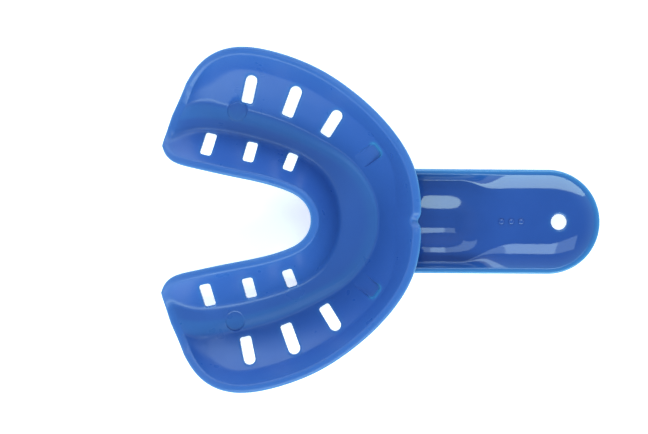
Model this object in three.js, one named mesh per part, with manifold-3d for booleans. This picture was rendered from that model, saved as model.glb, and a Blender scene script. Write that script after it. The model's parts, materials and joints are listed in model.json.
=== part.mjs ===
// A lower-arch dental impression tray with a scoop handle, in millimetres, +Z up.
// The tray lies on the underside of its floor (z = 0) with its trough facing up. +X points
// along the handle, and y = 0 is the plane of symmetry. The origin is the centre of the
// footprint, on the resting plane. The tray is one thin-walled moulding; each mesh below is
// one wall, lip or panel of it, and neighbours share their cut faces exactly.
import * as THREE from "three";
import { mergeVertices } from "three/addons/utils/BufferGeometryUtils.js";
import Module from "manifold-3d";

const wasm = await Module();
wasm.setup();

// ---------------------------------------------------------------- driving dimensions

const FLOOR_THICKNESS = 2.0;
const WALL_EDGE_HEIGHT = 2.4; // height of a wall's cut edge, where its lip begins
const LIP_WIDTH = 1.9;
const HEEL_RISE = 1.6; // how far the floor rises at the heels
const HEEL_RISE_STATIONS = 2; // over this many stations
const STEP_HEIGHT = 0.35; // the low soft step between the trough's floor and its outer wall
const FRONT_STEP_HEIGHT = 0.2;
const UNDERSIDE_LAG = 1.2; // the outside of a wall starts to rise this far beyond the inside

const FRENUM_NOTCH_DEPTH = 1.2; // how far the labial rim dips at the midline
const FRENUM_NOTCH_SETBACK = 0.7;
const FRENUM_NOTCH_HALF_WIDTH = 1.2;

const HANDLE_HALF_WIDTH = 11.65;
const HANDLE_TIP_X = 49.0;
const HANDLE_ROOT_X = 1.5; // on the midline; the root curves back to both sides of it
const HANDLE_ROOT_CURVE = 0.027;
const NECK_END_X = 26.5; // where the sloping neck runs into the level plate
const HANDLE_RIM_HEIGHT = 7.6;
const HANDLE_RIM_WIDTH = 1.2;
const HANDLE_RIM_ROUND = 0.5;
const HANDLE_SKIN = 1.8;
const HANDLE_EDGE_HEIGHT = 2.2; // depth of the plate's outer edge
const UNDERSIDE_EDGE_RUN = 6.5; // the plate's underside rises to that edge over this width
const NECK_FLOOR_HEIGHT = 2.3; // along the channel in the middle of the neck
const PLATE_FLOOR_HEIGHT = 5.5;
const NECK_SHOULDER_HEIGHT = 1.9; // how far the neck's floor rises from its channel to its sides
const NECK_SHOULDER = [0.9, 7.7]; // distances from the midline between which it rises
const NECK_WALL_RUN = 1.4; // width of the steep wall inside the neck's rim
const NECK_CLIMBS = [14.5, NECK_END_X]; // from one X to another, as in the next four
const SHOULDER_GROWS = [-3, 12];
const SHOULDER_FADES = [15, 26];
const WALL_WIDENS = [18, 30];
const EDGE_THINS = [10, 24];
const PLATE_WALL_RUN = 7.2; // width of the plate's rounded wall
const HANG_HOLE_RADIUS = 1.75;
const HANG_HOLE_X = 40.1;
const ROOT_GAP = 0.5; // the neck is cut this far below the flange that it meets

const SIZE_PIP_RADIUS = 0.65;
const SIZE_PIP_HEIGHT = 0.35;
const SIZE_PIP_PITCH = 2.2;
const SIZE_PIP_MIDDLE_X = 29.4;

const ARCH_STEPS_PER_STATION = 4;
const TIP_STEPS = 20; // around the half circle at the handle's tip

// Stations from the heel (first) to the front midline (last), on the side where y > 0.
// inner and outer are the top edges of the two walls, with their heights; crease is the foot
// of the inner wall, step the outer side of the floor, and ledge the width of the soft step
// between the floor and the foot of the outer wall.
const STATIONS = [
  [[-47.15, 16.7, 5.2], [-46.05, 20.1], [-45.15, 22.8], [-42.1, 29.5, 5.6], 3.0],
  [[-45.4, 14.5, 7.3], [-41.6, 20.9], [-41.0, 23.5], [-39.2, 33.35, 8.2], 2.7],
  [[-40.6, 13.1, 9.7], [-37.3, 20.7], [-36.6, 23.2], [-34.5, 35.9, 11.2], 2.4],
  [[-34.2, 11.7, 11.3], [-31.8, 19.8], [-31.1, 22.3], [-27.1, 35.9, 13.2], 2.3],
  [[-26.8, 10.2, 12.0], [-23.9, 17.7], [-22.9, 19.9], [-16.85, 32.65, 14.0], 2.3],
  [[-20.9, 8.5, 12.3], [-16.9, 14.8], [-14.9, 16.5], [-8.4, 27.6, 14.4], 2.0],
  [[-16.8, 6.4, 12.4], [-11.9, 10.7], [-7.9, 12.8], [-0.7, 20.65, 14.7], 1.4],
  [[-14.35, 3.35, 12.5], [-9.2, 5.5], [-2.9, 6.9], [5.4, 11.05, 15.0], 1.0],
  [[-13.6, 0, 12.5], [-8.4, 0], [-1.2, 0], [6.9, 0, 15.1], 0.8],
].map(([inner, crease, step, outer, ledge]) => ({ inner, crease, step, outer, ledge }));

// Slots on the side where y > 0: centre, angle of their long axis from +X, length and width.
// They are cut straight up and down, as the mould's shut-offs form them.
const OUTER_SLOTS = [
  { x: -29.42, y: 29.3, angle: 76, length: 6.1, width: 2.6 },
  { x: -19.82, y: 26.6, angle: 68, length: 6.8, width: 2.7 },
  { x: -10.9, y: 21.8, angle: 57, length: 6.1, width: 2.6 },
];
const INNER_SLOTS = [
  { x: -38.58, y: 16.95, angle: 77, length: 5.1, width: 2.55 },
  { x: -29.18, y: 15.25, angle: 78, length: 4.6, width: 2.45 },
  { x: -20.18, y: 13.05, angle: 71, length: 4.1, width: 2.35 },
];
const SLOT_CORNER = 0.55;
// A blind pocket either side of the handle, where the wall behind it stays closed.
const POCKET = { x: -2.7, y: 14.65, angle: 36, length: 5.2, width: 3.5 };
const POCKET_DEPTH = 1.6; // at the pocket's outer end; it runs out to nothing at the inner end
// The flat round marks of two ejector pins near the heels, cut level into the soft step.
const PIN_MARKS = [
  { x: -32.3, y: 24.4 },
  { x: -32.5, y: -22.8 },
];
const PIN_MARK_RADIUS = 2.2;
const PIN_MARK_HEIGHT = 1.9;

// ---------------------------------------------------------------- curves

const smoothstep = (x) => {
  const t = Math.min(Math.max(x, 0), 1);
  return t * t * (3 - 2 * t);
};

// A natural cubic spline through values at 0, 1, 2 ...
function spline(values) {
  const last = values.length - 1;
  const bend = new Array(last + 1).fill(0);
  const upper = [0];
  const right = [0];
  for (let i = 1; i < last; i++) {
    const pull = 6 * (values[i - 1] - 2 * values[i] + values[i + 1]);
    upper[i] = 1 / (4 - upper[i - 1]);
    right[i] = (pull - right[i - 1]) * upper[i];
  }
  for (let i = last - 1; i > 0; i--) bend[i] = right[i] - upper[i] * bend[i + 1];
  return (t) => {
    const i = Math.min(Math.max(Math.floor(t), 0), last - 1);
    const b = t - i;
    const a = 1 - b;
    return a * values[i] + b * values[i + 1] + ((a ** 3 - a) * bend[i] + (b ** 3 - b) * bend[i + 1]) / 6;
  };
}

// One number of every station as a function along the whole arch: 0 is the heel at y > 0,
// FRONT the midline and LAST the other heel. sign is -1 for a number that mirrors.
const FRONT = STATIONS.length - 1;
const LAST = 2 * FRONT;
function alongArch(pick, sign = 1) {
  const half = STATIONS.map(pick);
  return spline([...half, ...half.slice(0, -1).reverse().map((v) => sign * v)]);
}
const planCurve = (key) => [alongArch((s) => s[key][0]), alongArch((s) => s[key][1], -1)];
const INNER_EDGE = planCurve("inner");
const CREASE = planCurve("crease");
const STEP_LINE = planCurve("step");
const OUTER_EDGE = planCurve("outer");
const innerHeight = alongArch((s) => s.inner[2]);
const outerRimHeight = alongArch((s) => s.outer[2]);
// The floor is level, apart from a rise towards the heels.
const floorHeight = (t) => FLOOR_THICKNESS + HEEL_RISE * heelShare(t, HEEL_RISE_STATIONS);
const ledgeWidth = alongArch((s) => s.ledge);

// The labial rim's dip for the frenum, 1 at the midline and 0 a few millimetres away.
const notch = (y) => 1 / (1 + (y / FRENUM_NOTCH_HALF_WIDTH) ** 4);

// How near a place is to a heel: 1 at the heel, falling smoothly to 0 at that many stations.
const heelShare = (t, stations) => Math.max(0, 1 - Math.min(t, LAST - t) / stations) ** 2;

// A bend in a profile: 0 before x = 0 and x after it, rounded over a distance r to either side.
const bend = (x, r) => (x < -r ? 0 : x > r ? x : (x + r) ** 2 / (4 * r));

// The height of a wall as a share of its full height, at a share w of its width from its foot.
// It climbs evenly to a knee, and more steeply above it.
function wallRise(w, { foot, knee, kneeHeight, kneeRound }) {
  const lower = kneeHeight / (knee - foot);
  const upper = (1 - kneeHeight) / (1 - knee);
  return lower * bend(w - foot, foot) + (upper - lower) * bend(w - knee, kneeRound);
}

// The inner wall's foot is a crease that fades towards the heels.
function innerShape(t) {
  const heel = heelShare(t, 1.6);
  return {
    foot: 0.12 + 0.18 * heel,
    knee: 0.55 + 0.15 * heel,
    kneeHeight: 0.5 - 0.08 * heel,
    kneeRound: 0.2,
  };
}

// The outer wall's knee stands further out along the sides, to make room for the slots. Both
// its foot and its knee fade into one smooth bowl towards the heels.
function outerShape(t) {
  const side = smoothstep(Math.abs(t - FRONT) / 1.6);
  const heel = smoothstep(heelShare(t, 3.2) * 3);
  const blend = (front, middle, end) => front + (middle - front) * side + (end - middle) * heel;
  return {
    foot: blend(0.05, 0.03, 0.08),
    knee: blend(0.5, 0.77, 0.7),
    kneeHeight: blend(0.42, 0.6, 0.5),
    kneeRound: blend(0.04, 0.03, 0.25),
  };
}
const stepHeight = (t) => {
  const side = smoothstep(Math.abs(t - FRONT) / 1.6);
  const heel = smoothstep(heelShare(t, 3.2) * 3);
  return (FRONT_STEP_HEIGHT + (STEP_HEIGHT - FRONT_STEP_HEIGHT) * side) * (1 - heel);
};

// ---------------------------------------------------------------- closed thin-walled solids

const at = ([x, y], t) => [x(t), y(t)];
const mix = (a, b, w) => [a[0] + (b[0] - a[0]) * w, a[1] + (b[1] - a[1]) * w];
const gap = (a, b) => Math.hypot(b[0] - a[0], b[1] - a[1]);

// A triangle list, as a closed indexed geometry whose faces point out.
function closedGeometry(triangles) {
  let volume = 0;
  for (const [a, b, c] of triangles) {
    const normal = new THREE.Vector3(...b).cross(new THREE.Vector3(...c));
    volume += normal.dot(new THREE.Vector3(...a));
  }
  const outward = volume > 0 ? triangles : triangles.map(([a, b, c]) => [a, c, b]);
  const geometry = new THREE.BufferGeometry();
  geometry.setAttribute("position", new THREE.Float32BufferAttribute(outward.flat(2), 3));
  return mergeVertices(geometry, 1e-4);
}

// The two triangles of a wall's cut face between plan points a and b, each { top, bottom }.
// The diagonal depends only on the points, so two neighbours always split the face alike.
function cutFace(a, b) {
  const swap = a.top[0] > b.top[0] || (a.top[0] === b.top[0] && a.top[1] > b.top[1]);
  return swap
    ? [[a.top, a.bottom, b.top], [b.top, a.bottom, b.bottom]]
    : [[a.top, a.bottom, b.bottom], [a.top, b.bottom, b.top]];
}

// A shell over a plan mesh: points are { top, bottom } pairs and faces are loops of indices,
// all turning the same way. Every edge that belongs to one face only gets a cut face.
function shell({ points, faces }) {
  const triangles = [];
  const edges = new Map();
  for (const face of faces) {
    for (let i = 1; i < face.length - 1; i++) {
      const [a, b, c] = [face[0], face[i], face[i + 1]].map((k) => points[k]);
      triangles.push([a.top, b.top, c.top], [a.bottom, c.bottom, b.bottom]);
    }
    face.forEach((a, i) => {
      const b = face[(i + 1) % face.length];
      if (!edges.delete(b + " " + a)) edges.set(a + " " + b, [a, b]);
    });
  }
  for (const [a, b] of edges.values()) triangles.push(...cutFace(points[a], points[b]));
  return closedGeometry(triangles);
}

// A plan mesh of quads: rows[i][j] are { top, bottom } pairs.
function gridMesh(rows) {
  const width = rows[0].length;
  const faces = [];
  for (let i = 0; i + 1 < rows.length; i++) {
    for (let j = 0; j + 1 < width; j++) {
      const k = i * width + j;
      faces.push([k, k + 1, k + width + 1, k + width]);
    }
  }
  return { points: rows.flat(), faces };
}

// ---------------------------------------------------------------- walls of the arch

// Each of these gives the { top, bottom } pair at place t along the arch and share w of the
// region's width.
function floorPoint(t, w) {
  const [x, y] = mix(at(CREASE, t), at(STEP_LINE, t), w);
  const z = floorHeight(t);
  return { top: [x, y, z], bottom: [x, y, z - FLOOR_THICKNESS] };
}

function innerWallPoint(t, w) {
  const foot = at(CREASE, t);
  const edge = at(INNER_EDGE, t);
  const [x, y] = mix(foot, edge, w);
  const width = gap(foot, edge);
  const floor = floorHeight(t);
  const under = floor - FLOOR_THICKNESS;
  const height = innerHeight(t);
  const outside = (w * width - UNDERSIDE_LAG) / (width - UNDERSIDE_LAG);
  const shape = innerShape(t);
  return {
    top: [x, y, floor + (height - floor) * wallRise(w, shape)],
    bottom: [x, y, under + (height - WALL_EDGE_HEIGHT - under) * wallRise(outside, shape)],
  };
}

function outerEdge(t) {
  const [x, y] = at(OUTER_EDGE, t);
  const dip = Math.abs(t - FRONT) < 1 ? notch(y) : 0;
  return {
    plan: [x - FRENUM_NOTCH_SETBACK * dip, y],
    height: outerRimHeight(t) - FRENUM_NOTCH_DEPTH * dip,
  };
}

function outerWallPoint(t, w) {
  const foot = at(STEP_LINE, t);
  const { plan, height } = outerEdge(t);
  const [x, y] = mix(foot, plan, w);
  const width = gap(foot, plan);
  const run = w * width;
  const ledge = ledgeWidth(t);
  const floor = floorHeight(t);
  const under = floor - FLOOR_THICKNESS;
  const step = stepHeight(t);
  const inside = (run - ledge) / (width - ledge);
  const outside = (run - ledge - UNDERSIDE_LAG) / (width - ledge - UNDERSIDE_LAG);
  const shape = outerShape(t);
  const wall = (height - floor - step) * wallRise(inside, shape);
  return {
    top: [x, y, floor + step * smoothstep(run / ledge) + wall],
    bottom: [x, y, under + (height - WALL_EDGE_HEIGHT - under) * wallRise(outside, shape)],
  };
}

// Shares of a wall's width at which it has a row of points: its foot, below and above its knee.
function wallShares({ foot, knee, kneeRound }) {
  const [low, high] = [knee - kneeRound, Math.min(knee + kneeRound, 1)];
  const start = Math.min(2 * foot, low - 0.02);
  const rising = [start / 2, start, (2 * start + low) / 3, (start + 2 * low) / 3];
  return [...rising, low, knee, high, (high + 1) / 2, 1];
}
function outerShares(t) {
  const ledge = ledgeWidth(t) / gap(at(STEP_LINE, t), outerEdge(t).plan);
  const wall = wallShares(outerShape(t)).map((share) => ledge + (1 - ledge) * share);
  return [0, ledge / 4, ledge / 2, (3 * ledge) / 4, ledge, ...wall];
}
const innerShares = (t) => [0, ...wallShares(innerShape(t))];
const FLOOR_SHARES = [0, 0.5, 1];

const ARCH_STEPS = LAST * ARCH_STEPS_PER_STATION;
const ARCH_PLACES = Array.from({ length: ARCH_STEPS + 1 }, (_, i) => i / ARCH_STEPS_PER_STATION);
const archRows = (point, shares) => ARCH_PLACES.map((t) => shares(t).map((w) => point(t, w)));
const floorRows = archRows(floorPoint, () => FLOOR_SHARES);
const innerRows = archRows(innerWallPoint, innerShares);
const outerRows = archRows(outerWallPoint, outerShares);

// ---------------------------------------------------------------- cutting

function solidOf(geometry) {
  const bare = geometry.clone();
  bare.deleteAttribute("normal");
  bare.deleteAttribute("uv");
  const merged = mergeVertices(bare, 1e-4);
  return new wasm.Manifold(
    new wasm.Mesh({
      numProp: 3,
      vertProperties: new Float32Array(merged.attributes.position.array),
      triVerts: new Uint32Array(merged.index.array),
    }),
  );
}

function geometryOf(solid) {
  const mesh = solid.getMesh();
  const geometry = new THREE.BufferGeometry();
  const position = new Float32Array(mesh.numVert * 3);
  for (let i = 0; i < mesh.numVert; i++) {
    position.set(mesh.vertProperties.subarray(i * mesh.numProp, i * mesh.numProp + 3), i * 3);
  }
  geometry.setAttribute("position", new THREE.BufferAttribute(position, 3));
  geometry.setIndex(new THREE.BufferAttribute(mesh.triVerts, 1));
  return geometry;
}

// A slot's outline about its centre, its long axis along +X, with its own radius at each end.
function slotShape({ length, width }, nearRadius, farRadius) {
  const [l, h] = [length / 2, width / 2];
  const shape = new THREE.Shape();
  shape.moveTo(-l + nearRadius, -h);
  shape.lineTo(l - farRadius, -h);
  shape.absarc(l - farRadius, -h + farRadius, farRadius, -Math.PI / 2, 0);
  shape.absarc(l - farRadius, h - farRadius, farRadius, 0, Math.PI / 2);
  shape.lineTo(-l + nearRadius, h);
  shape.absarc(-l + nearRadius, h - nearRadius, nearRadius, Math.PI / 2, Math.PI);
  shape.absarc(-l + nearRadius, -h + nearRadius, nearRadius, Math.PI, 1.5 * Math.PI);
  return shape;
}

const TALL = 40; // taller than the whole tray, for cuts that run right through
// A slot's upright cutter, on the side of the tray that side (1 or -1) says.
function slotCutter(slot, side, nearRadius, farRadius) {
  const geometry = new THREE.ExtrudeGeometry(slotShape(slot, nearRadius, farRadius), {
    depth: TALL,
    bevelEnabled: false,
    curveSegments: 4,
  });
  geometry.rotateZ(side * THREE.MathUtils.degToRad(slot.angle));
  geometry.translate(slot.x, side * slot.y, -TALL / 2);
  return solidOf(geometry);
}

// Everything above a sheet of points, as a cutter.
function spaceAbove(rows) {
  const column = ([x, y, z]) => ({ top: [x, y, TALL], bottom: [x, y, z] });
  return solidOf(shell(gridMesh(rows.map((row) => row.map(column)))));
}

// How far the pocket's floor lies below the wall: nothing at its inner end, and evenly more
// towards its outer end.
function pocketSink(x, y) {
  const angle = THREE.MathUtils.degToRad(POCKET.angle);
  const along = (x - POCKET.x) * Math.cos(angle) + (Math.abs(y) - POCKET.y) * Math.sin(angle);
  return POCKET_DEPTH * Math.max(0.05, along / POCKET.length + 0.5);
}

function pinCutter({ x, y }) {
  const pin = new THREE.CylinderGeometry(PIN_MARK_RADIUS, PIN_MARK_RADIUS, TALL, 24);
  pin.rotateX(Math.PI / 2);
  pin.translate(x, y, PIN_MARK_HEIGHT + TALL / 2);
  return solidOf(pin);
}

function occlusalFloor() {
  let solid = solidOf(shell(gridMesh(floorRows)));
  for (const mark of PIN_MARKS) solid = solid.subtract(pinCutter(mark));
  return geometryOf(solid);
}

function outerFlange() {
  let solid = solidOf(shell(gridMesh(outerRows)));
  const pocketFloor = ({ top: [x, y, z] }) => [x, y, z - pocketSink(x, y)];
  const pocketSpace = spaceAbove(outerRows.map((row) => row.map(pocketFloor)));
  for (const side of [1, -1]) {
    for (const slot of OUTER_SLOTS) {
      solid = solid.subtract(slotCutter(slot, side, SLOT_CORNER, slot.width / 2 - 0.01));
    }
    solid = solid.subtract(slotCutter(POCKET, side, SLOT_CORNER, 1).intersect(pocketSpace));
  }
  for (const mark of PIN_MARKS) solid = solid.subtract(pinCutter(mark));
  return geometryOf(solid);
}

function innerFlange() {
  let solid = solidOf(shell(gridMesh(innerRows)));
  for (const side of [1, -1]) {
    for (const slot of INNER_SLOTS) {
      solid = solid.subtract(slotCutter(slot, side, SLOT_CORNER, SLOT_CORNER));
    }
  }
  return geometryOf(solid);
}

// ---------------------------------------------------------------- lips

// A lip's section beyond a wall's cut edge: out along the wall, over, and back underneath.
// It returns [outward, up] steps from the edge's top, without the edge's own two corners.
const LIP_SEGMENTS = 4;
function lipSection(slope, edgeHeight) {
  const outerZ = 0.45 * Math.sin(slope) - 0.7;
  const tangent = [Math.cos(slope), Math.sin(slope)];
  const over = new THREE.CubicBezierCurve(
    new THREE.Vector2(0, 0),
    new THREE.Vector2(0.6 * tangent[0], 0.6 * tangent[1]),
    new THREE.Vector2(LIP_WIDTH, outerZ + 0.75),
    new THREE.Vector2(LIP_WIDTH, outerZ),
  );
  const under = new THREE.CubicBezierCurve(
    new THREE.Vector2(LIP_WIDTH, outerZ),
    new THREE.Vector2(LIP_WIDTH, outerZ - 0.6),
    new THREE.Vector2(0.5 * tangent[0], 0.5 * tangent[1] - edgeHeight),
    new THREE.Vector2(0, -edgeHeight),
  );
  return [...over.getPoints(LIP_SEGMENTS).slice(1), ...under.getPoints(LIP_SEGMENTS).slice(1, -1)];
}

// The whole border as one closed run of { top, bottom, slope }. It starts at the heel where
// y > 0 and takes in the inner edge, the far heel, the outer edge and the near heel.
const heelRow = (i) => [...[...innerRows[i]].reverse(), ...floorRows[i].slice(1), ...outerRows[i].slice(1)];
const slopeOf = (row) => {
  const [below, edge] = [row.at(-2).top, row.at(-1).top];
  return Math.atan2(edge[2] - below[2], gap(below, edge));
};
const HEEL_SLOPE = 0.25;
const innerRun = innerRows.map((row) => ({ ...row.at(-1), slope: slopeOf(row) }));
const outerRun = outerRows.map((row) => ({ ...row.at(-1), slope: slopeOf(row) }));
const nearHeelRun = heelRow(0).map((p) => ({ ...p, slope: HEEL_SLOPE }));
const farHeelRun = heelRow(ARCH_STEPS).map((p) => ({ ...p, slope: HEEL_SLOPE }));

const border = [
  ...innerRun.slice(0, -1),
  ...farHeelRun.slice(0, -1),
  ...[...outerRun].reverse().slice(0, -1),
  ...[...nearHeelRun].reverse().slice(0, -1),
];

// Outward directions and slopes along the border, eased so that the corners turn smoothly.
const EASE_PASSES = 3;
function easeBorder() {
  const around = (i) => border[(i + border.length) % border.length];
  let directions = border.map((_, i) => {
    const [a, b] = [around(i - 1).top, around(i + 1).top];
    const length = gap(a, b);
    return [(b[1] - a[1]) / length, (a[0] - b[0]) / length];
  });
  let slopes = border.map((p) => p.slope);
  for (let pass = 0; pass < EASE_PASSES; pass++) {
    const n = border.length;
    directions = directions.map((d, i) => {
      const [a, b] = [directions[(i + n - 1) % n], directions[(i + 1) % n]];
      const sum = [a[0] + 2 * d[0] + b[0], a[1] + 2 * d[1] + b[1]];
      const length = Math.hypot(...sum);
      return [sum[0] / length, sum[1] / length];
    });
    slopes = slopes.map((s, i) => (slopes[(i + n - 1) % n] + 2 * s + slopes[(i + 1) % n]) / 4);
  }
  border.forEach((p, i) => Object.assign(p, { outward: directions[i], slope: slopes[i] }));
}
easeBorder();

// One lip: a sweep of the lip's section along part of the border, capped at both ends.
function lip(first, count) {
  const stations = Array.from({ length: count + 1 }, (_, i) => border[(first + i) % border.length]);
  const sections = stations.map((p) => {
    const [x, y, z] = p.top;
    const steps = lipSection(p.slope, z - p.bottom[2]);
    const beyond = steps.map((step) => [x + p.outward[0] * step.x, y + p.outward[1] * step.x, z + step.y]);
    return [p.top, ...beyond, p.bottom];
  });
  const triangles = [];
  for (let i = 0; i < count; i++) {
    const [a, b] = [sections[i], sections[i + 1]];
    for (let j = 0; j + 1 < a.length; j++) {
      triangles.push([a[j], a[j + 1], b[j + 1]], [a[j], b[j + 1], b[j]]);
    }
    triangles.push(...cutFace(stations[i + 1], stations[i]));
  }
  const cap = (section) => section.slice(1, -1).map((_, j) => [section[0], section[j + 1], section[j + 2]]);
  triangles.push(...cap(sections[0]).map(([a, b, c]) => [a, c, b]), ...cap(sections[count]));
  return closedGeometry(triangles);
}

// ---------------------------------------------------------------- handle

const TIP_CENTRE_X = HANDLE_TIP_X - HANDLE_HALF_WIDTH;
const EDGE_LIFT = HANDLE_RIM_HEIGHT - HANDLE_EDGE_HEIGHT - (PLATE_FLOOR_HEIGHT - HANDLE_SKIN);
const share = (x, [from, to]) => smoothstep((x - from) / (to - from));

// The handle's surfaces above a plan point that lies inset from the handle's outline. The neck is
// a deep trough with a channel along its middle and steep walls. It climbs to the level plate,
// which is shallow and curves up to its rim all round.
function handlePoint(x, y, inset) {
  const valley = NECK_FLOOR_HEIGHT + (PLATE_FLOOR_HEIGHT - NECK_FLOOR_HEIGHT) * share(x, NECK_CLIMBS);
  const shoulderFade = share(x, SHOULDER_GROWS) * (1 - share(x, SHOULDER_FADES));
  const shoulder = NECK_SHOULDER_HEIGHT * shoulderFade * share(Math.abs(y), NECK_SHOULDER);
  const floor = valley + shoulder;
  const wallRun = NECK_WALL_RUN + (PLATE_WALL_RUN - NECK_WALL_RUN) * share(x, WALL_WIDENS);
  const p = Math.min(Math.max((inset - HANDLE_RIM_WIDTH) / wallRun, 0), 1);
  const round = HANDLE_RIM_ROUND * (1 - Math.sqrt(1 - (1 - Math.min(inset / HANDLE_RIM_ROUND, 1)) ** 2));
  const edgeLift = share(x, EDGE_THINS) * EDGE_LIFT * (1 - smoothstep(inset / UNDERSIDE_EDGE_RUN));
  return {
    top: [x, y, floor + (HANDLE_RIM_HEIGHT - floor) * (1 - p) ** 2 - round],
    bottom: [x, y, floor - HANDLE_SKIN + edgeLift + round],
  };
}

const NECK_ROWS = 13;
const rootX = (y) => HANDLE_ROOT_X - HANDLE_ROOT_CURVE * y * y;
const neckX = (row, y) => rootX(y) + ((NECK_END_X - rootX(y)) * row) / NECK_ROWS;
const PLATE_XS = [NECK_END_X, 28.5, 31, 34, TIP_CENTRE_X];
const INSETS = [0, 0.12, 0.5, HANDLE_RIM_WIDTH];
const RIM_INNER_Y = HANDLE_HALF_WIDTH - HANDLE_RIM_WIDTH;
const HALF_YS = [0, 0.9, 2, 3.2, 4.6, 5.9, 7, 7.7, 8.5, 9.05, 9.7, RIM_INNER_Y];
const ACROSS = [...HALF_YS.slice(1).reverse().map((y) => -y), ...HALF_YS];
const TIP_ANGLES = Array.from({ length: TIP_STEPS + 1 }, (_, i) => (i / TIP_STEPS - 0.5) * Math.PI);

const sidePoint = (x, y) => handlePoint(x, y, HANDLE_HALF_WIDTH - Math.abs(y));
const neckRow = (ys, row) => ys.map((y) => sidePoint(neckX(row, y), y));
const neckRows = (ys) => Array.from({ length: NECK_ROWS + 1 }, (_, row) => neckRow(ys, row));
const tipPoint = (angle, radius) => {
  const [x, y] = [TIP_CENTRE_X + radius * Math.cos(angle), radius * Math.sin(angle)];
  return handlePoint(x, y, HANDLE_HALF_WIDTH - radius);
};

// The rim runs along one side, round the tip and back along the other side.
function handleRimRows() {
  const ys = INSETS.map((inset) => HANDLE_HALF_WIDTH - inset);
  const near = ys.map((y) => -y);
  const plateRows = (side) => PLATE_XS.slice(1, -1).map((x) => side.map((y) => sidePoint(x, y)));
  return [
    ...neckRows(near),
    ...plateRows(near),
    ...TIP_ANGLES.map((angle) => ys.map((radius) => tipPoint(angle, radius))),
    ...plateRows(ys).reverse(),
    ...neckRows(ys).reverse(),
  ];
}

// The plate is a rectangle of quads with a half-round fan beyond it, about the tip's centre.
function platePlan() {
  const plan = gridMesh(PLATE_XS.map((x) => ACROSS.map((y) => sidePoint(x, y))));
  const radii = HALF_YS.slice(1);
  const centre = plan.points.length;
  plan.points.push(tipPoint(0, 0));
  for (const angle of TIP_ANGLES) plan.points.push(...radii.map((r) => tipPoint(angle, r)));
  const index = (a, r) => centre + 1 + a * radii.length + r;
  for (let a = 0; a < TIP_STEPS; a++) {
    plan.faces.push([centre, index(a + 1, 0), index(a, 0)]);
    for (let r = 0; r + 1 < radii.length; r++) {
      plan.faces.push([index(a, r), index(a + 1, r), index(a + 1, r + 1), index(a, r + 1)]);
    }
  }
  return plan;
}

// Points at one plan place become one point, so that shared edges between patches vanish.
function welded({ points, faces }) {
  const places = new Map();
  const kept = [];
  const target = points.map((p) => {
    const key = p.top.slice(0, 2).map((v) => Math.round(v * 1e4)).join(" ");
    if (!places.has(key)) places.set(key, kept.push(p) - 1);
    return places.get(key);
  });
  return { points: kept, faces: faces.map((face) => face.map((k) => target[k])) };
}

// The handle's root stops a hair below the outside of the outer wall.
const belowFlange = ({ bottom: [x, y, z] }) => [x, y, z - ROOT_GAP];
const flangeKeepOut = spaceAbove(outerRows.map((row) => row.map(belowFlange)));
const cutToFlange = (geometry) => geometryOf(solidOf(geometry).subtract(flangeKeepOut));

function handlePlate() {
  const hole = new THREE.CylinderGeometry(HANG_HOLE_RADIUS, HANG_HOLE_RADIUS, TALL, 32);
  hole.rotateX(Math.PI / 2);
  hole.translate(HANG_HOLE_X, 0, 0);
  return geometryOf(solidOf(shell(welded(platePlan()))).subtract(solidOf(hole)));
}

function sizePip(place) {
  const pip = new THREE.CylinderGeometry(SIZE_PIP_RADIUS * 0.8, SIZE_PIP_RADIUS, SIZE_PIP_HEIGHT, 16);
  pip.rotateX(Math.PI / 2);
  pip.translate(SIZE_PIP_MIDDLE_X + place * SIZE_PIP_PITCH, 0, PLATE_FLOOR_HEIGHT + SIZE_PIP_HEIGHT / 2);
  return pip;
}

// ---------------------------------------------------------------- the tray

const trayPlastic = new THREE.MeshStandardMaterial({ color: 0x2b62b8, roughness: 0.28, metalness: 0 });
const handlePlastic = new THREE.MeshStandardMaterial({ color: 0x2a5cb4, roughness: 0.1, metalness: 0 });

const tray = new THREE.Group();
function add(name, geometry, material) {
  const mesh = new THREE.Mesh(geometry, material);
  mesh.name = name;
  tray.add(mesh);
}

add("occlusal_floor", occlusalFloor(), trayPlastic);
add("inner_flange", innerFlange(), trayPlastic);
add("outer_flange", outerFlange(), trayPlastic);

const innerSpan = innerRun.length - 1;
const heelSpan = nearHeelRun.length - 1;
const outerSpan = outerRun.length - 1;
add("inner_lip", lip(0, innerSpan), trayPlastic);
add("right_heel_lip", lip(innerSpan, heelSpan), trayPlastic);
add("outer_lip", lip(innerSpan + heelSpan, outerSpan), trayPlastic);
add("left_heel_lip", lip(innerSpan + heelSpan + outerSpan, heelSpan), trayPlastic);

add("handle_neck", cutToFlange(shell(gridMesh(neckRows(ACROSS)))), handlePlastic);
add("handle_rim", cutToFlange(shell(gridMesh(handleRimRows()))), handlePlastic);
add("handle_plate", handlePlate(), handlePlastic);
[-1, 0, 1].forEach((place, i) => add(`size_pip_${i + 1}`, sizePip(place), handlePlastic));

export default tray;
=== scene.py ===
"""Looks of the dental impression tray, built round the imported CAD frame.

The tray is one blue plastic moulding. Every CAD node is replaced by a fine, smooth mesh of the
same wall, lip or panel, made from the same curves. Formulas are in millimetres and Blender
objects in metres. The arch lies round y = 0 with its heels at -X, and the handle points to +X.
"""
import json
import math

import bpy
import numpy as np
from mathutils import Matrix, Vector
from mathutils.geometry import delaunay_2d_cdt

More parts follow.
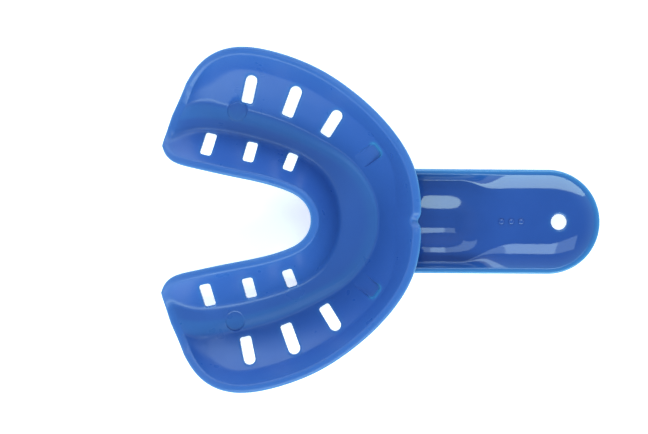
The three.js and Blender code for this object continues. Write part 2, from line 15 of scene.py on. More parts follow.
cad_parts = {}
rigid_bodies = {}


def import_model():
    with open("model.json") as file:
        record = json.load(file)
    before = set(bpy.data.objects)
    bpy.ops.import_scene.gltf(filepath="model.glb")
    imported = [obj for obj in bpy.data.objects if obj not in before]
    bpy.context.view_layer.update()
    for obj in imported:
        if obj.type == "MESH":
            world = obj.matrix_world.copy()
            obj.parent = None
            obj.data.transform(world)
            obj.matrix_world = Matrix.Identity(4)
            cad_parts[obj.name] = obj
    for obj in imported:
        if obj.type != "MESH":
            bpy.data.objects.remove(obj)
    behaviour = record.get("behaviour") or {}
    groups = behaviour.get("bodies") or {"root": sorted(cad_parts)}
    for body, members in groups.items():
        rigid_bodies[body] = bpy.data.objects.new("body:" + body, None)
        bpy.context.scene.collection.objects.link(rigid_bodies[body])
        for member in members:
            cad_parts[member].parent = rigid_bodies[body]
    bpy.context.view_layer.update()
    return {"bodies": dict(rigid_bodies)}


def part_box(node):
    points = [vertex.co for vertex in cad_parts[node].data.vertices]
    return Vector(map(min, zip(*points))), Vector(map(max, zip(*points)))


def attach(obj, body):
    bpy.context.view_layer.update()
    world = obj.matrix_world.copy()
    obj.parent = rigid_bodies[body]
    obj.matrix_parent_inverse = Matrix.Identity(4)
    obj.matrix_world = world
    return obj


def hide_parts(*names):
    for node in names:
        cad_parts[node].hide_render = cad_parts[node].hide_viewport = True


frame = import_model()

MM = 0.001


def box_mm(node):
    """A CAD node's lowest and highest corners, in millimetres."""
    return [[value / MM for value in corner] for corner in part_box(node)]


# ---------------------------------------------------------------- driving dimensions

FLOOR_THICKNESS = 2.0
WALL_EDGE_HEIGHT = 2.4  # height of a wall's cut edge, where its lip begins
LIP_WIDTH = 1.9
LIP_SEGMENTS = 10  # in each of the two curves of a lip's outline
HEEL_RISE = 1.6
HEEL_RISE_STATIONS = 2
HEEL_SLOPE = 0.25  # of the lips across the heels, in radians
STEP_HEIGHT = 0.35  # of the soft step between floor and outer wall, along the sides
FRONT_STEP_HEIGHT = 0.2
UNDERSIDE_LAG = 1.2  # how much further out a wall's underside starts to rise than its top

FRENUM_NOTCH_DEPTH = 1.2
FRENUM_NOTCH_SETBACK = 0.7
FRENUM_NOTCH_HALF_WIDTH = 1.2

HANDLE_TIP_X, HANDLE_HALF_WIDTH, HANDLE_RIM_HEIGHT = box_mm("handle_rim")[1]
PLATE_LOW, PLATE_HIGH = box_mm("handle_plate")
NECK_END_X = PLATE_LOW[0]
HANDLE_RIM_WIDTH = HANDLE_HALF_WIDTH - PLATE_HIGH[1]
HANDLE_ROOT_X = 1.5  # on the midline; the root curves back to both sides of it
HANDLE_ROOT_CURVE = 0.027
ROOT_REACH = 8.5  # the handle's root lies under the outer wall up to this X
ROOT_DEPTH = 0.6  # how far the handle's root reaches into the outer wall
HANDLE_RIM_ROUND = 0.5
HANDLE_SKIN = 1.8
PLATE_FLOOR_HEIGHT = PLATE_LOW[2] + HANDLE_SKIN
HANDLE_EDGE_HEIGHT = 2.2  # depth of the plate's outer edge
UNDERSIDE_EDGE_RUN = 6.5  # the plate's underside rises to that edge over this width
NECK_FLOOR_HEIGHT = 2.3
NECK_SHOULDER_HEIGHT = 1.9  # how far the neck's floor rises from its channel to its sides
NECK_SHOULDER = (0.9, 7.7)  # distances from the midline between which it rises
NECK_WALL_RUN = 1.4  # width of the steep wall inside the neck's rim
NECK_CLIMBS = (14.5, NECK_END_X)  # from one X to another, as in the next four
SHOULDER_GROWS = (-3, 12)
SHOULDER_FADES = (15, 26)
WALL_WIDENS = (18, 30)
EDGE_THINS = (10, 24)
PLATE_WALL_RUN = 7.2  # width of the plate's rounded wall
HANG_HOLE_RADIUS = 1.75
HANG_HOLE_X = 40.1
TIP_CENTRE_X = HANDLE_TIP_X - HANDLE_HALF_WIDTH

# Stations from the heel to the front midline, on the side where y > 0: the top edge of the
# inner wall and its height, the foot of that wall, the outer side of the floor, the top edge of
# the outer wall and its height, and the width of the soft step between floor and outer wall.
STATIONS = [
    # inner edge           crease            step             outer edge           ledge
    ((-47.15, 16.7, 5.2), (-46.05, 20.1), (-45.15, 22.8), (-42.1, 29.5, 5.6), 3.0),
    ((-45.4, 14.5, 7.3), (-41.6, 20.9), (-41.0, 23.5), (-39.2, 33.35, 8.2), 2.7),
    ((-40.6, 13.1, 9.7), (-37.3, 20.7), (-36.6, 23.2), (-34.5, 35.9, 11.2), 2.4),
    ((-34.2, 11.7, 11.3), (-31.8, 19.8), (-31.1, 22.3), (-27.1, 35.9, 13.2), 2.3),
    ((-26.8, 10.2, 12.0), (-23.9, 17.7), (-22.9, 19.9), (-16.85, 32.65, 14.0), 2.3),
    ((-20.9, 8.5, 12.3), (-16.9, 14.8), (-14.9, 16.5), (-8.4, 27.6, 14.4), 2.0),
    ((-16.8, 6.4, 12.4), (-11.9, 10.7), (-7.9, 12.8), (-0.7, 20.65, 14.7), 1.4),
    ((-14.35, 3.35, 12.5), (-9.2, 5.5), (-2.9, 6.9), (5.4, 11.05, 15.0), 1.0),
    ((-13.6, 0, 12.5), (-8.4, 0), (-1.2, 0), (6.9, 0, 15.1), 0.8),
]
FRONT = len(STATIONS) - 1
LAST = 2 * FRONT

# Slots and pockets on the side where y > 0: centre, angle of the long axis, length, width, and
# the corner radius at the inner and at the outer end.
OUTER_SLOTS = [
    (-29.42, 29.3, 76, 6.1, 2.6, 0.55, 1.25),
    (-19.82, 26.6, 68, 6.8, 2.7, 0.55, 1.3),
    (-10.9, 21.8, 57, 6.1, 2.6, 0.55, 1.25),
]
INNER_SLOTS = [
    (-38.58, 16.95, 77, 5.1, 2.55, 0.55, 0.55),
    (-29.18, 15.25, 78, 4.6, 2.45, 0.55, 0.55),
    (-20.18, 13.05, 71, 4.1, 2.35, 0.55, 0.55),
]
POCKET = (-2.7, 14.65, 36, 5.2, 3.5, 0.55, 1.0)
POCKET_DEPTH = 1.6
POCKET_GROWTHS = [-0.45, -0.18, -0.1, -0.02, 0.06, 0.12, 0.3]  # of its rings of points
CUT_ROUND = 0.4  # radius of the rounded edge of a slot or a hole

# The flat round marks of the ejector pins: centres, radius, height and growths of their rings.
PIN_MARKS = [(-32.3, 24.4), (-32.5, -22.8)]
PIN_MARK_RADIUS = 2.2
PIN_MARK_HEIGHT = 1.9
PIN_MARK_SLOPE = 2.5  # of the wall round a mark
PIN_MARK_GROWTHS = [-0.35, -0.13, -0.03, 0.07, 0.2]

# How much light through the thin plastic is painted into the colour at cuts, rims, lips, pockets and the
# floor's step, from 0 to 1, and how far it reaches into the plastic: a painted glow.
CUT_GLOW = 0.4
CUT_GLOW_REACH = 0.3
RIM_GLOW_REACH = 0.8
LIP_FOOT_GLOW = 0.06
LIP_GLOW_GROWTH = 0.06  # from the lip's foot to its outer side
LIP_END_GLOW = 0.85  # added at the very outer side
POCKET_GLOW_REACH = 0.25
STEP_GLOW = 0.16

STEPS_PER_STATION = 20
RING_SPACING = 0.22

# ---------------------------------------------------------------- curves


def smoothstep(x):
    t = np.clip(x, 0, 1)
    return t * t * (3 - 2 * t)


def spline(values):
    """A natural cubic spline through values at 0, 1, 2 ..."""
    values = np.asarray(values, float)
    count = len(values)
    matrix = np.eye(count)
    pull = np.zeros(count)
    for i in range(1, count - 1):
        matrix[i, i - 1:i + 2] = 1, 4, 1
        pull[i] = 6 * (values[i - 1] - 2 * values[i] + values[i + 1])
    bends = np.linalg.solve(matrix, pull)

    def at(t):
        i = np.clip(np.floor(t).astype(int), 0, count - 2)
        b = t - i
        a = 1 - b
        curve = (a**3 - a) * bends[i] + (b**3 - b) * bends[i + 1]
        return a * values[i] + b * values[i + 1] + curve / 6

    return at


def along_arch(pick, mirror=1):
    """One number of every station as a function from one heel (0) round to the other (LAST)."""
    half = [pick(station) for station in STATIONS]
    return spline(half + [mirror * value for value in reversed(half[:-1])])


def plan_curve(column):
    x = along_arch(lambda station: station[column][0])
    y = along_arch(lambda station: station[column][1], -1)
    return lambda t: np.stack([x(t), y(t)], -1)


inner_edge = plan_curve(0)
crease = plan_curve(1)
step_line = plan_curve(2)
outer_edge_line = plan_curve(3)
inner_height = along_arch(lambda station: station[0][2])
outer_height = along_arch(lambda station: station[3][2])
ledge_width = along_arch(lambda station: station[4])


def heel_share(t, stations):
    """1 at a heel, falling smoothly to 0 at that many stations from it."""
    return np.clip(1 - np.minimum(t, LAST - t) / stations, 0, None) ** 2


def floor_height(t):
    """The floor is level, apart from a rise towards the heels."""
    return FLOOR_THICKNESS + HEEL_RISE * heel_share(t, HEEL_RISE_STATIONS)


def bend(x, radius):
    """0 before x = 0 and x after it, rounded over radius to either side."""
    return np.where(x < -radius, 0, np.where(x > radius, x, (x + radius) ** 2 / (4 * radius)))


def wall_rise(w, foot, knee, knee_height, knee_round):
    """A wall's height share at a share w of its width: even to a knee, and steeper above it."""
    lower = knee_height / (knee - foot)
    upper = (1 - knee_height) / (1 - knee)
    return lower * bend(w - foot, foot) + (upper - lower) * bend(w - knee, knee_round)


def inner_shape(t):
    """Foot rounding, knee, knee height and knee rounding: a crease that fades at the heels."""
    heel = heel_share(t, 1.6)
    return 0.12 + 0.18 * heel, 0.55 + 0.15 * heel, 0.5 - 0.08 * heel, 0.2 + 0 * heel


def side_and_heel(t):
    return smoothstep(np.abs(t - FRONT) / 1.6), smoothstep(heel_share(t, 3.2) * 3)


def outer_shape(t):
    """The same for the outer wall, from the front through the sides to the heels' smooth bowl."""
    side, heel = side_and_heel(t)
    stages = ((0.05, 0.03, 0.08), (0.5, 0.77, 0.7), (0.42, 0.6, 0.5), (0.04, 0.03, 0.25))
    return [front + (middle - front) * side + (end - middle) * heel for front, middle, end in stages]


def step_height(t):
    side, heel = side_and_heel(t)
    return (FRONT_STEP_HEIGHT + (STEP_HEIGHT - FRONT_STEP_HEIGHT) * side) * (1 - heel)


# ---------------------------------------------------------------- surfaces of the arch
# Each takes places t along the arch and shares w of a region's width, and returns the plan
# points with the heights of the trough side and of the underside.


def between(start, end, w):
    return start + (end - start) * w[..., None]


def length(steps):
    return np.hypot(steps[..., 0], steps[..., 1])


def floor_surface(t, w):
    plan = between(crease(t), step_line(t), w)
    top = floor_height(t)
    return plan, top, top - FLOOR_THICKNESS


def inner_wall(t, w):
    foot = crease(t)
    edge = inner_edge(t)
    width = length(edge - foot)
    floor = floor_height(t)
    under = floor - FLOOR_THICKNESS
    height = inner_height(t)
    outside = (w * width - UNDERSIDE_LAG) / (width - UNDERSIDE_LAG)
    shape = inner_shape(t)
    top = floor + (height - floor) * wall_rise(w, *shape)
    bottom = under + (height - WALL_EDGE_HEIGHT - under) * wall_rise(outside, *shape)
    return between(foot, edge, w), top, bottom


def outer_edge(t):
    """The outer wall's top edge and its height, with the notch for the frenum."""
    plan = outer_edge_line(t)
    dip = np.where(np.abs(t - FRONT) < 1, 1 / (1 + (plan[..., 1] / FRENUM_NOTCH_HALF_WIDTH) ** 4), 0)
    plan = np.stack([plan[..., 0] - FRENUM_NOTCH_SETBACK * dip, plan[..., 1]], -1)
    return plan, outer_height(t) - FRENUM_NOTCH_DEPTH * dip


def outer_wall(t, w):
    foot = step_line(t)
    edge, height = outer_edge(t)
    width = length(edge - foot)
    run = w * width
    ledge = ledge_width(t)
    floor = floor_height(t)
    under = floor - FLOOR_THICKNESS
    inside = (run - ledge) / (width - ledge)
    outside = (run - ledge - UNDERSIDE_LAG) / (width - ledge - UNDERSIDE_LAG)
    shape = outer_shape(t)
    step = step_height(t)
    top = floor + step * smoothstep(run / ledge) + (height - floor - step) * wall_rise(inside, *shape)
    bottom = under + (height - WALL_EDGE_HEIGHT - under) * wall_rise(outside, *shape)
    return between(foot, edge, w), top, bottom


def wall_shares(foot, knee, knee_height, knee_round):
    """Shares of a wall's width for its rows of points, closest where the wall bends."""
    low = knee - knee_round
    high = min(knee + knee_round, 0.98)
    start = min(2 * foot, low - 0.02)
    stretches = ((0, start, 6), (start, low, 16), (low, high, 8), (high, 1, 9))
    return np.concatenate([np.linspace(a, b, rows)[:-1] for a, b, rows in stretches] + [[1]])


def inner_shares(t):
    return wall_shares(*inner_shape(t))


def outer_shares(t):
    ledge = ledge_width(t) / length(outer_edge(t)[0] - step_line(t))
    step_rows = np.linspace(0, ledge, 10)
    return np.concatenate([step_rows[:-1], ledge + (1 - ledge) * wall_shares(*outer_shape(t))])


FLOOR_SHARES = np.linspace(0, 1, 9)
PLACES = np.linspace(0, LAST, LAST * STEPS_PER_STATION + 1)


def region_grid(shares_of):
    """The places and the shares of a region's grid of points."""
    shares = np.stack([shares_of(t) for t in PLACES])
    return np.repeat(PLACES[:, None], shares.shape[1], 1), shares


# ---------------------------------------------------------------- slots


class Slot:
    """An upright cut with a rounded-rectangle outline, on the side that side (1 or -1) says."""

    def __init__(self, shape, side):
        x, y, angle, long, wide, self.near_radius, self.far_radius = shape
        self.centre = np.array([x, side * y])
        turn = side * math.radians(angle)
        self.along = np.array([math.cos(turn), math.sin(turn)])
        self.across = np.array([-math.sin(turn), math.cos(turn)])
        self.half = np.array([long / 2, wide / 2])

    def distance(self, plan):
        """How far plan points lie outside the outline; negative inside."""
        offset = plan - self.centre
        local = np.stack([offset @ self.along, offset @ self.across], -1)
        radius = np.where(local[..., 0] > 0, self.far_radius, self.near_radius)
        corner = np.abs(local) - self.half + radius[..., None]
        outside = length(np.maximum(corner, 0))
        return outside + np.minimum(np.max(corner, -1), 0) - radius

    def ring(self, grow):
        """Points round the outline, grown by that much."""
        points = []
        for sx, sy, start in ((1, -1, -90), (1, 1, 0), (-1, 1, 90), (-1, -1, 180)):
            radius = self.far_radius if sx > 0 else self.near_radius
            middle = np.array([sx, sy]) * (self.half - radius)
            for degrees in np.linspace(start, start + 90, 8):
                turn = math.radians(degrees)
                points.append(middle + (radius + grow) * np.array([math.cos(turn), math.sin(turn)]))
        return self.centre + spread(np.array(points), RING_SPACING) @ np.array([self.along, self.across])


def round_slot(x, y, radius):
    """A round cut at (x, y)."""
    return Slot((x, abs(y), 0, 2 * radius, 2 * radius, radius, radius), math.copysign(1, y))


def spread(loop, spacing):
    """A closed loop with points added so that none of its sides is longer than spacing."""
    points = []
    for start, end in zip(loop, np.roll(loop, -1, 0)):
        pieces = max(1, math.ceil(np.hypot(*(end - start)) / spacing))
        points.extend(start + (end - start) * i / pieces for i in range(pieces))
    return np.array(points)


def cut_drop(distance):
    """How far a cut's rounded edge falls below the surface, at a distance from the cut."""
    inward = np.clip(1 - distance / CUT_ROUND, 0, 1)
    return CUT_ROUND * (1 - np.sqrt(1 - inward**2))


RING_GROWTHS = [CUT_ROUND * share for share in (0, 0.02, 0.08, 0.18, 0.34, 0.58, 1.0)]

# ---------------------------------------------------------------- plan meshes


def inverse(surface, plan, t_grid, w_grid, plan_grid):
    """The places t and shares w at which a surface's plan meets the given plan points."""
    flat = plan_grid.reshape(-1, 2)
    nearest = [int(np.argmin(((flat - point) ** 2).sum(-1))) for point in plan]
    t = t_grid.ravel()[nearest].astype(float)
    w = w_grid.ravel()[nearest].astype(float)
    nudge = 1e-4
    rounds = 8
    for _ in range(rounds):
        here = surface(t, w)[0]
        by_t = (surface(t + nudge, w)[0] - here) / nudge
        by_w = (surface(t, w + nudge)[0] - here) / nudge
        miss = plan - here
        area = by_t[:, 0] * by_w[:, 1] - by_t[:, 1] * by_w[:, 0]
        t = t + (miss[:, 0] * by_w[:, 1] - miss[:, 1] * by_w[:, 0]) / area
        w = w + (by_t[:, 0] * miss[:, 1] - by_t[:, 1] * miss[:, 0]) / area
    return t, w


def loop_edges(first, count):
    return [(first + i, first + (i + 1) % count) for i in range(count)]


def part_loop_edges(first, inside):
    """The edges of a loop of which only the points inside are kept, numbered from first."""
    numbers = first + np.cumsum(inside) - 1
    after = np.roll(np.arange(len(inside)), -1)
    whole = inside & inside[after]
    return [(int(a), int(b)) for a, b in zip(numbers[whole], numbers[after][whole])]


def triangulate(plan, edges, cuts):
    """Triangles over plan points inside the constraint edges, without those inside a cut."""
    points = [Vector(point) for point in plan]
    result = delaunay_2d_cdt(points, edges, [], 1, 1e-7)
    found = np.array([Vector(point) for point in result[0]])
    sources = [names[0] for names in result[3]]
    faces = np.array([face for face in result[2]])
    middles = found[faces].mean(1)
    keep = np.ones(len(faces), bool)
    for cut in cuts:
        keep &= cut.distance(middles) > 0
    faces = np.array(sources)[faces[keep]]
    corners = plan[faces]
    first = corners[:, 1] - corners[:, 0]
    second = corners[:, 2] - corners[:, 0]
    clockwise = first[:, 0] * second[:, 1] < first[:, 1] * second[:, 0]
    faces[clockwise] = faces[clockwise][:, ::-1]
    return faces


def boundary_edges(faces):
    """Directed edges that belong to one face only."""
    directed = np.concatenate([faces[:, [i, (i + 1) % faces.shape[1]]] for i in range(faces.shape[1])])
    size = int(faces.max()) + 1
    codes = directed[:, 0] * size + directed[:, 1]
    opposite = directed[:, 1] * size + directed[:, 0]
    return directed[~np.isin(codes, opposite)].tolist()


class Skin:
    """A closed mesh in the making: points in millimetres and groups of faces, hidden or seen.

    Each point has a glow from 0 to 1: how much light through thin plastic is painted into its colour
    there.
    """

    def __init__(self, name, points, glow=0.0):
        self.name = name
        self.points = points
        self.glow = np.broadcast_to(glow, len(points))
        self.groups = []

    def add(self, faces, hidden=False):
        faces = np.asarray(faces, int)
        if len(faces):
            self.groups.append((faces, hidden))


def close_shell(name, plan, top, bottom, faces, is_cut_edge, glow):
    """A shell from a plan mesh; border faces count as hidden unless is_cut_edge says otherwise."""
    count = len(plan)
    points = np.concatenate([np.column_stack([plan, top]), np.column_stack([plan, bottom])])
    skin = Skin(name, points, np.concatenate([glow, glow]))
    skin.add(faces)
    skin.add(faces[:, ::-1] + count)
    sides = {True: [], False: []}
    for a, b in boundary_edges(faces):
        sides[bool(is_cut_edge(a, b))].append((b, a, a + count, b + count))
    skin.add(sides[True])
    skin.add(sides[False], hidden=True)
    return skin


def cut_glow(distance):
    """The glow beside a cut, where light enters the plastic through the cut's wall."""
    return CUT_GLOW * np.exp(-np.maximum(distance, 0) / CUT_GLOW_REACH)


BORDER_CLEARANCE = 0.004  # share of a region's width in which a ring has no points
ON_OUTLINE = 1e-4  # points this close to an outline, in millimetres, lie on it


def arch_region(name, surface, shares_of, slots, glow_of, adjust=None, extra_rings=()):
    """A wall or floor of the arch: a grid in t and w, with rings of points round each slot.

    The function adjust changes the top's heights, and extra_rings are pairs of an outline and
    the growths of its rings.
    """
    t_grid, shares = region_grid(shares_of)
    plan_grid = surface(t_grid, shares)[0]
    on_border = np.zeros(shares.shape, bool)
    on_border[[0, -1], :] = True
    on_border[:, [0, -1]] = True
    keep = np.ones(shares.shape, bool)
    all_rings = [*[(slot, RING_GROWTHS) for slot in slots], *extra_rings]
    for shape, growths in all_rings:
        keep &= on_border | (shape.distance(plan_grid) > growths[-1] + RING_SPACING / 2)
    numbers = np.full(shares.shape, -1)
    numbers[keep] = np.arange(keep.sum())
    t = t_grid[keep]
    w = shares[keep]
    edges = []
    for line in (numbers[0], numbers[-1], numbers[:, 0], numbers[:, -1]):
        edges += [(int(a), int(b)) for a, b in zip(line[:-1], line[1:])]
    for shape, growths in all_rings:
        for growth in growths:
            ring = shape.ring(growth)
            ring_t, ring_w = inverse(surface, ring, t_grid, shares, plan_grid)
            inside = (ring_w > BORDER_CLEARANCE) & (ring_w < 1 - BORDER_CLEARANCE)
            for slot in slots:
                inside &= (slot is shape) | (slot.distance(ring) > CUT_ROUND + RING_SPACING / 3)
            edges += part_loop_edges(len(t), inside)
            t = np.concatenate([t, ring_t[inside]])
            w = np.concatenate([w, ring_w[inside]])
    plan, top, bottom = surface(t, w)
    faces = triangulate(plan, edges, slots)
    for slot in slots:
        drop = cut_drop(slot.distance(plan))
        top = top - drop
        bottom = bottom + drop
    if adjust:
        top = adjust(plan, top)
    on_slot = np.zeros(len(plan), bool)
    glow = glow_of(t, w)
    for slot in slots:
        on_slot |= np.abs(slot.distance(plan)) < ON_OUTLINE
        glow = np.maximum(glow, cut_glow(slot.distance(plan)))
    return close_shell(name, plan, top, bottom, faces, lambda a, b: on_slot[a] and on_slot[b], glow)


# ---------------------------------------------------------------- lips


def lip_section(slope, edge_height):
    """Steps (outward, up) of a lip's outline from the top of a wall's edge to its bottom.

    Two Bezier curves meet at the lip's outer side, where the outline is upright.
    """
    outer = 0.45 * math.sin(slope) - 0.7
    tangent = np.array([math.cos(slope), math.sin(slope)])
    side = [np.array([LIP_WIDTH, outer + rise]) for rise in (0.75, 0, -0.6)]
    low_end = np.array([0, -edge_height])
    over = [np.zeros(2), 0.6 * tangent, side[0], side[1]]
    under = [side[1], side[2], low_end + 0.5 * tangent, low_end]
    outline = []
    for p in (over, under):
        for s in np.linspace(0, 1, LIP_SEGMENTS + 1)[:-1]:
            a = 1 - s
            outline.append(a**3 * p[0] + 3 * a * a * s * p[1] + 3 * a * s * s * p[2] + s**3 * p[3])
    return np.array([*outline, low_end])


BELOW_EDGE = 0.98  # share of a wall's width, just short of its edge


def edge_run(surface):
    """Tops and bottoms along a wall's edge, with the wall's slope there."""
    ones = np.ones(len(PLACES))
    plan, top, bottom = surface(PLACES, ones)
    below, below_top, _ = surface(PLACES, ones * BELOW_EDGE)
    slope = np.arctan2(top - below_top, length(plan - below))
    return np.column_stack([plan, top, bottom, slope])


def heel_run(t):
    """The moulding's border across a heel, from the inner edge to the outer edge."""
    runs = []
    regions = (
        (inner_wall, inner_shares(t)[::-1]),
        (floor_surface, FLOOR_SHARES[1:]),
        (outer_wall, outer_shares(t)[1:]),
    )
    for surface, shares in regions:
        plan, top, bottom = surface(np.full(len(shares), t), shares)
        runs.append(np.column_stack([plan, top, bottom, np.full(len(shares), HEEL_SLOPE)]))
    return np.concatenate(runs)


inner_run = edge_run(inner_wall)
outer_run = edge_run(outer_wall)
near_heel = heel_run(PLACES[0])
far_heel = heel_run(PLACES[-1])
border_runs = [inner_run, far_heel, outer_run[::-1], near_heel[::-1]]
border = np.concatenate([run[:-1] for run in border_runs])


def ease(values, passes):
    for _ in range(passes):
        values = (np.roll(values, 1, 0) + 2 * values + np.roll(values, -1, 0)) / 4
    return values


EASE_LENGTH = 1.5  # millimetres of border over which the lip's direction is eased
EASE_SPACING = 0.25


def eased_directions():
    """Outward directions and slopes along the border, eased at an even spacing."""
    closed = np.concatenate([border[:, :2], border[:1, :2]])
    walked = np.concatenate([[0], np.cumsum(length(np.diff(closed, axis=0)))])
    count = int(walked[-1] / EASE_SPACING)
    even = np.linspace(0, walked[-1], count, endpoint=False)
    x = np.interp(even, walked, closed[:, 0])
    y = np.interp(even, walked, closed[:, 1])
    ahead = np.stack([np.roll(x, -1) - np.roll(x, 1), np.roll(y, -1) - np.roll(y, 1)], -1)
    outward = np.stack([ahead[:, 1], -ahead[:, 0]], -1) / length(ahead)[:, None]
    slope = np.interp(even, walked, np.concatenate([border[:, 4], border[:1, 4]]))
    eased = ease(np.column_stack([outward, slope]), int((EASE_LENGTH / EASE_SPACING) ** 2))
    found = [np.interp(walked[:-1], even, values, period=walked[-1]) for values in eased.T]
    directions = np.stack(found[:2], -1)
    return directions / length(directions)[:, None], found[2]


border_outward, border_slope = eased_directions()


def lip(name, first, count):
    """One lip: its section swept along part of the border and capped at both ends."""
    sections = []
    for i in range(first, first + count + 1):
        x, y, top, bottom, _ = border[i % len(border)]
        outward = border_outward[i % len(border)]
        steps = lip_section(border_slope[i % len(border)], top - bottom)
        plan = np.array([x, y]) + outward * steps[:, :1]
        sections.append(np.column_stack([plan, top + steps[:, 1]]))
    width = len(sections[0])
    reach = np.clip(steps[:, 0] / LIP_WIDTH, 0, 1)
    glow = LIP_FOOT_GLOW + LIP_GLOW_GROWTH * reach + LIP_END_GLOW * reach**12
    skin = Skin(name, np.concatenate(sections), np.tile(glow, len(sections)))
    starts = np.arange(count) * width
    around = [(j, j + 1, width + j + 1, width + j) for j in range(width - 1)]
    skin.add((starts[:, None, None] + np.array(around)).reshape(-1, 4))
    skin.add(starts[:, None] + np.array([width - 1, 0, width, 2 * width - 1]), hidden=True)
    end = count * width
    skin.add([(0, j + 1, j) for j in range(1, width - 1)], hidden=True)
    skin.add([(end, end + j, end + j + 1) for j in range(1, width - 1)], hidden=True)
    return skin


# ---------------------------------------------------------------- handle


def share(x, stretch):
    """0 before a stretch, 1 after it and a smooth rise in between."""
    return smoothstep((x - stretch[0]) / (stretch[1] - stretch[0]))


def handle_inset(plan):
    """How far plan points lie inside the handle's outline."""
    beyond = np.maximum(plan[..., 0] - TIP_CENTRE_X, 0)
    return HANDLE_HALF_WIDTH - np.hypot(beyond, plan[..., 1])


def handle_surface(plan):
    """Heights of the handle's upper side and underside.

    The neck is a deep trough with a channel along its middle and steep walls. It climbs to the
    level plate, which is shallow and curves up to its rim all round.
    """
    x, y = plan[..., 0], plan[..., 1]
    inset = np.maximum(handle_inset(plan), 0)
    valley = NECK_FLOOR_HEIGHT + (PLATE_FLOOR_HEIGHT - NECK_FLOOR_HEIGHT) * share(x, NECK_CLIMBS)
    shoulder_fade = share(x, SHOULDER_GROWS) * (1 - share(x, SHOULDER_FADES))
    shoulder = share(np.abs(y), NECK_SHOULDER)
    floor = valley + NECK_SHOULDER_HEIGHT * shoulder_fade * shoulder
    wall_run = NECK_WALL_RUN + (PLATE_WALL_RUN - NECK_WALL_RUN) * share(x, WALL_WIDENS)
    p = np.clip((inset - HANDLE_RIM_WIDTH) / wall_run, 0, 1)
    edge = np.minimum(inset / HANDLE_RIM_ROUND, 1)
    rounding = HANDLE_RIM_ROUND * (1 - np.sqrt(1 - (1 - edge) ** 2))
    full_lift = HANDLE_RIM_HEIGHT - HANDLE_EDGE_HEIGHT - PLATE_FLOOR_HEIGHT + HANDLE_SKIN
    lift = share(x, EDGE_THINS) * full_lift * (1 - smoothstep(inset / UNDERSIDE_EDGE_RUN))
    top = floor + (HANDLE_RIM_HEIGHT - floor) * (1 - p) ** 2 - rounding
    return top, floor - HANDLE_SKIN + lift + rounding


RIM_INSETS = np.array([0, 0.01, 0.05, 0.12, 0.22, 0.35, 0.5, 0.75, 1, HANDLE_RIM_WIDTH])
FLOOR_HALF_WIDTH = HANDLE_HALF_WIDTH - HANDLE_RIM_WIDTH
NECK_FOOT_Y = FLOOR_HALF_WIDTH - NECK_WALL_RUN
FOOT_BAND = 0.3  # half the width of the band of closer points round the foot of the neck's wall
HALF_YS = np.concatenate([
    np.linspace(0, NECK_FOOT_Y - FOOT_BAND, 24)[:-1],
    np.linspace(NECK_FOOT_Y - FOOT_BAND, NECK_FOOT_Y + FOOT_BAND, 7)[:-1],
    np.linspace(NECK_FOOT_Y + FOOT_BAND, FLOOR_HALF_WIDTH, 7),
])
ACROSS = np.concatenate([-HALF_YS[:0:-1], HALF_YS])
NECK_SHARES = np.linspace(0, 1, 61)
PLATE_XS = np.linspace(NECK_END_X, TIP_CENTRE_X, 33)
TIP_ANGLES = np.radians(np.linspace(-90, 90, 73))


def below_outer_wall(plan, top):
    """Keeps the handle's root inside the thickness of the outer wall that it grows from."""
    near = np.flatnonzero(plan[:, 0] < ROOT_REACH)
    if not len(near):
        return top
    t_grid, shares = region_grid(outer_shares)
    t, w = inverse(outer_wall, plan[near], t_grid, shares, outer_wall(t_grid, shares)[0])
    ceiling = outer_wall(t, np.clip(w, 0, 1))[2] + ROOT_DEPTH
    top = top.copy()
    top[near] = np.where(w < 1, np.minimum(top[near], ceiling), top[near])
    return top


def handle_shell(name, plan, faces, holes=()):
    top, bottom = handle_surface(plan)
    top = below_outer_wall(plan, top)
    on_hole = np.zeros(len(plan), bool)
    # A painted glow of light through thin plastic along the rim and round the hole.
    glow = np.exp(-np.maximum(handle_inset(plan), 0) / RIM_GLOW_REACH)
    for hole in holes:
        drop = cut_drop(hole.distance(plan))
        top = top - drop
        bottom = bottom + drop
        on_hole |= np.abs(hole.distance(plan)) < ON_OUTLINE
        glow = np.maximum(glow, cut_glow(hole.distance(plan)))
    on_outline = handle_inset(plan) < ON_OUTLINE

    def is_cut_edge(a, b):
        return (on_hole[a] and on_hole[b]) or (on_outline[a] and on_outline[b])

    return close_shell(name, plan, top, bottom, faces, is_cut_edge, glow)


def grid_shell(name, plan):
    rows, columns = plan.shape[:2]
    faces = []
    for i in range(rows - 1):
        for j in range(columns - 1):
            k = i * columns + j
            faces.append((k, k + columns, k + columns + 1, k + 1))
    return handle_shell(name, plan.reshape(-1, 2), np.array(faces))


def neck_grid(ys):
    """Plan points of the neck at each y, in rows from its curved root to its end."""
    columns = []
    for y in ys:
        root = HANDLE_ROOT_X - HANDLE_ROOT_CURVE * y * y
        xs = root + (NECK_END_X - root) * NECK_SHARES
        columns.append(np.column_stack([xs, np.full(len(xs), y)]))
    return np.stack(columns, 1)


def round_tip(radii):
    """Plan points of the handle's round tip: a row for each angle, and a column for each radius."""
    xs = TIP_CENTRE_X + np.outer(np.cos(TIP_ANGLES), radii)
    ys = np.outer(np.sin(TIP_ANGLES), radii)
    return np.stack([xs, ys], -1)


def handle_rim():
    ys = RIM_INSETS - HANDLE_HALF_WIDTH
    beside_plate = [[(x, y) for y in ys] for x in PLATE_XS[1:-1]]
    lower_side = np.concatenate([neck_grid(ys), beside_plate])
    upper_side = (lower_side * [1, -1])[::-1]
    plan = np.concatenate([lower_side, round_tip(HANDLE_HALF_WIDTH - RIM_INSETS), upper_side])
    return grid_shell("handle_rim", plan[:, ::-1])


